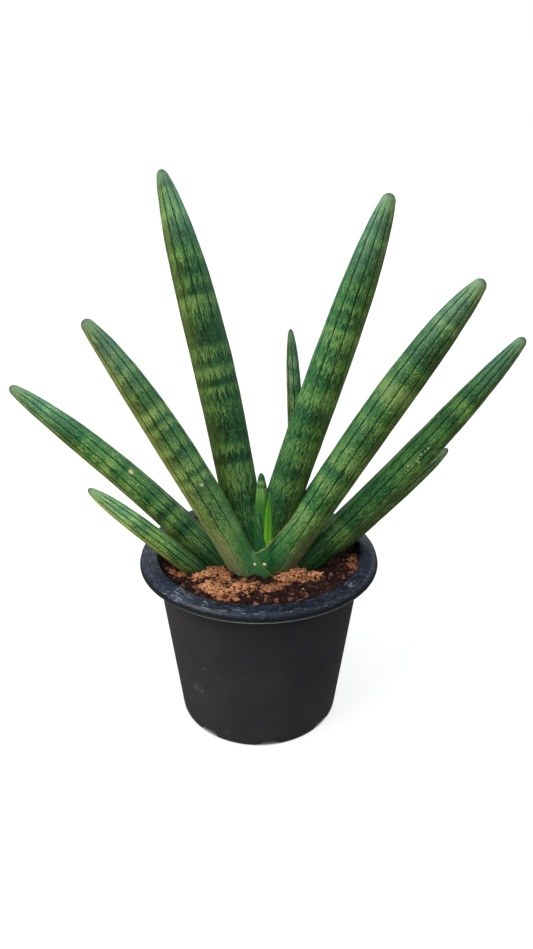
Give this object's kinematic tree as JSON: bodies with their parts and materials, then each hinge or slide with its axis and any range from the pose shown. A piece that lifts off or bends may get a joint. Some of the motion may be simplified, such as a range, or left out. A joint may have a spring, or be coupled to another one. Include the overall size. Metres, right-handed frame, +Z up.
{
  "type": "potted snake plant",
  "caption": "Cylinder-leaved snake plant: a fan of thick tapering leaves with banded skin, rooted in coir in a round tapered nursery pot with a rolled rim and a notched foot.",
  "frame": {"origin": "on the ground under the pot, on the pot's axis", "axes": "+Z up, the fan of leaves spreads along X, -Y towards the side that the plant is seen from"},
  "size_m": [0.3253, 0.165, 0.3701],
  "materials": {
    "pot_plastic": "matt black moulded polypropylene, satin on the rim, lightly dusty and scuffed",
    "leaf_skin": "waxy satin leaf skin, dark and light green cross-bands with fine lengthwise furrows",
    "young_leaf": "fresh bright green young leaf with a darker tip",
    "stock_bark": "pale tan rhizome skin",
    "coir_soil": "moist dark reddish-brown coir",
    "coir_lump": "drier orange-brown crumbly coir"
  },
  "bodies": {
    "root": {"pot": "pot_plastic", "soil": "coir_soil", "rootstock": "stock_bark", "leaf_low_left": "leaf_skin", "leaf_short_left": "leaf_skin", "leaf_mid_left": "leaf_skin", "leaf_tall_left": "leaf_skin", "leaf_tall_right": "leaf_skin", "leaf_mid_right": "leaf_skin", "leaf_low_right": "leaf_skin", "leaf_back_right": "leaf_skin", "leaf_pup": "leaf_skin", "leaf_heart": "young_leaf", "leaf_spear": "young_leaf", "clod_by_crown": "coir_lump", "clod_crown_right": "coir_lump", "clod_left": "coir_lump", "clod_front_left": "coir_lump", "clod_front": "coir_lump", "clod_back": "coir_lump"}
  },
  "joints": []
}
